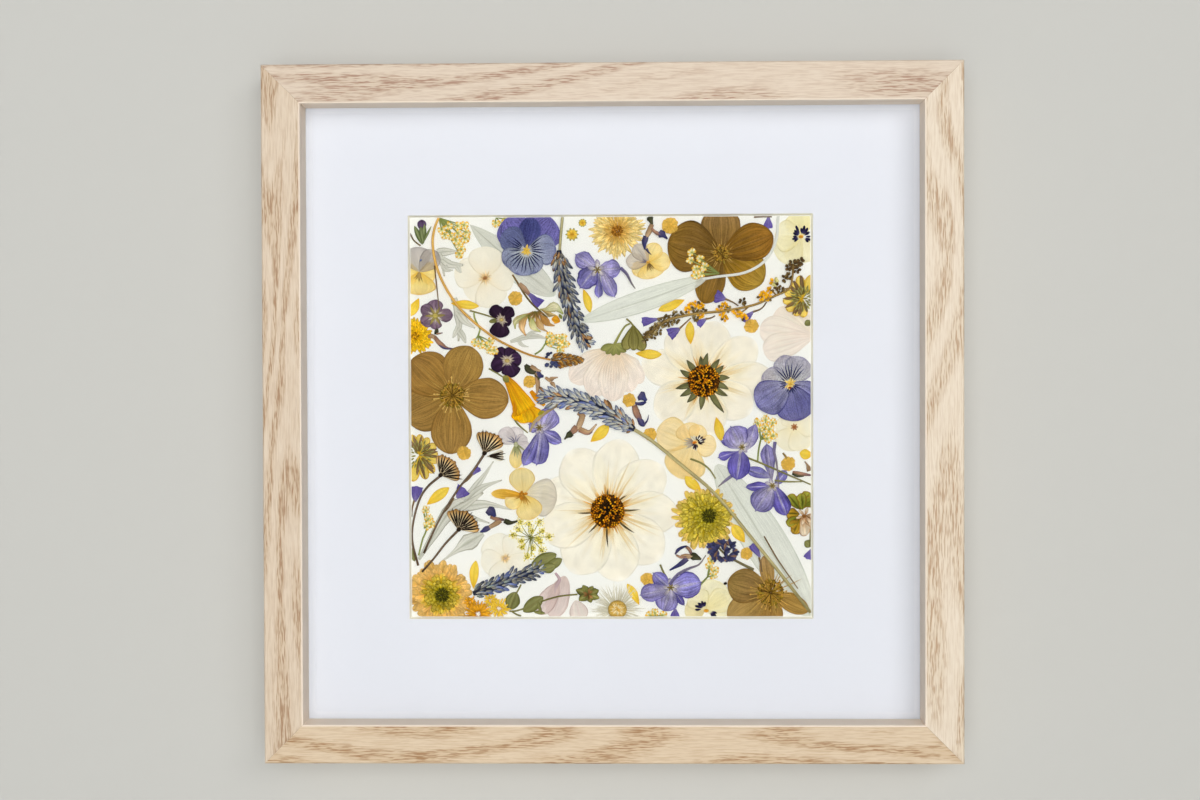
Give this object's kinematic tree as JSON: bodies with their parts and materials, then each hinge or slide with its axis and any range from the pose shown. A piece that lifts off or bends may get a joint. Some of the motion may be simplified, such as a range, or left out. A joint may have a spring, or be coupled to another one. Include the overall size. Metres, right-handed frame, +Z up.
{
  "type": "pressed flower frame",
  "caption": "Square wooden wall frame with a wide window mat and dried pressed flowers, leaves and stems laid flat behind glass.",
  "frame": {"origin": "where the wall hook meets the middle notch of the hanger, on the wall plane behind the rails", "axes": "+Z up the wall, front of the frame facing -Y, +X to the right as seen from the front"},
  "size_m": [0.3272, 0.028, 0.3272],
  "materials": {
    "oak": "clear satin over pale oak grain",
    "glass": "polished, clear",
    "mat_board": "matt, faintly blue white",
    "mount_paper": "matt warm white",
    "fibreboard": "matt brown fibreboard",
    "zinc": "dull zinc plate",
    "hellebore": "dry brown petals with fine veins",
    "cosmos": "dry cream petals, orange centre",
    "chrysanthemum": "dry golden and olive petals",
    "aster": "dry golden petals",
    "daisy": "dry yellow petals",
    "pansy_blue": "dry blue violet petals",
    "pansy_pale": "dry cream and yellow petals",
    "viola_dark": "dry dark purple petals",
    "viola_pale": "dry pale petals",
    "blossom": "thin dry cream petals",
    "larkspur": "dry violet blue petals",
    "lavender": "dry grey blue buds",
    "bell": "dry orange and pale pink petals",
    "silver_leaf": "dry silver green leaf",
    "dark_leaf": "dry dark green leaf",
    "seed_head": "dry brown bracts",
    "ochre_stem": "dry ochre stem"
  },
  "bodies": {
    "root": {"rail_top": "oak", "rail_right": "oak", "rail_bottom": "oak", "rail_left": "oak", "glazing": "glass", "window_mat": "mat_board", "mount_sheet": "mount_paper", "back_board": "fibreboard", "tab_top_1": "zinc", "tab_top_2": "zinc", "tab_right_1": "zinc", "tab_bottom_1": "zinc", "tab_left_1": "zinc", "sawtooth_hanger": "zinc", "hellebore_left": "hellebore", "hellebore_top": "hellebore", "hellebore_low": "hellebore", "cosmos_centre": "cosmos", "cosmos_right": "cosmos", "chrysanthemum_left": "chrysanthemum", "chrysanthemum_right": "chrysanthemum", "aster_top": "aster", "aster_left": "aster", "daisy_left": "daisy", "daisy_right": "daisy", "daisy_white": "daisy", "pansy_blue": "pansy_blue", "pansy_right": "pansy_blue", "pansy_left": "pansy_pale", "pansy_cream_top": "pansy_pale", "pansy_cream_low": "pansy_pale", "pansy_yellow": "pansy_pale", "viola_purple": "viola_dark", "viola_dark_top": "viola_dark", "viola_dark_low": "viola_dark", "viola_grey": "viola_pale", "viola_gold": "viola_pale", "viola_pale": "viola_pale", "phlox_cream": "blossom", "blossom_pale": "blossom", "blossom_pink": "blossom", "larkspur_top": "larkspur", "larkspur_middle": "larkspur", "larkspur_upper": "larkspur", "larkspur_lower": "larkspur", "larkspur_low": "larkspur", "lavender_top": "lavender", "lavender_middle": "lavender", "lavender_low": "lavender", "bell_orange": "bell", "bell_pink": "bell", "leaf_silver_top": "silver_leaf", "leaf_silver_long": "silver_leaf", "leaf_silver_right": "silver_leaf", "leaf_heart": "dark_leaf", "seed_head_upper": "seed_head", "seed_head_middle": "seed_head", "seed_head_lower": "seed_head", "stalk_ochre": "ochre_stem", "twig_flowering": "ochre_stem"}
  },
  "joints": []
}
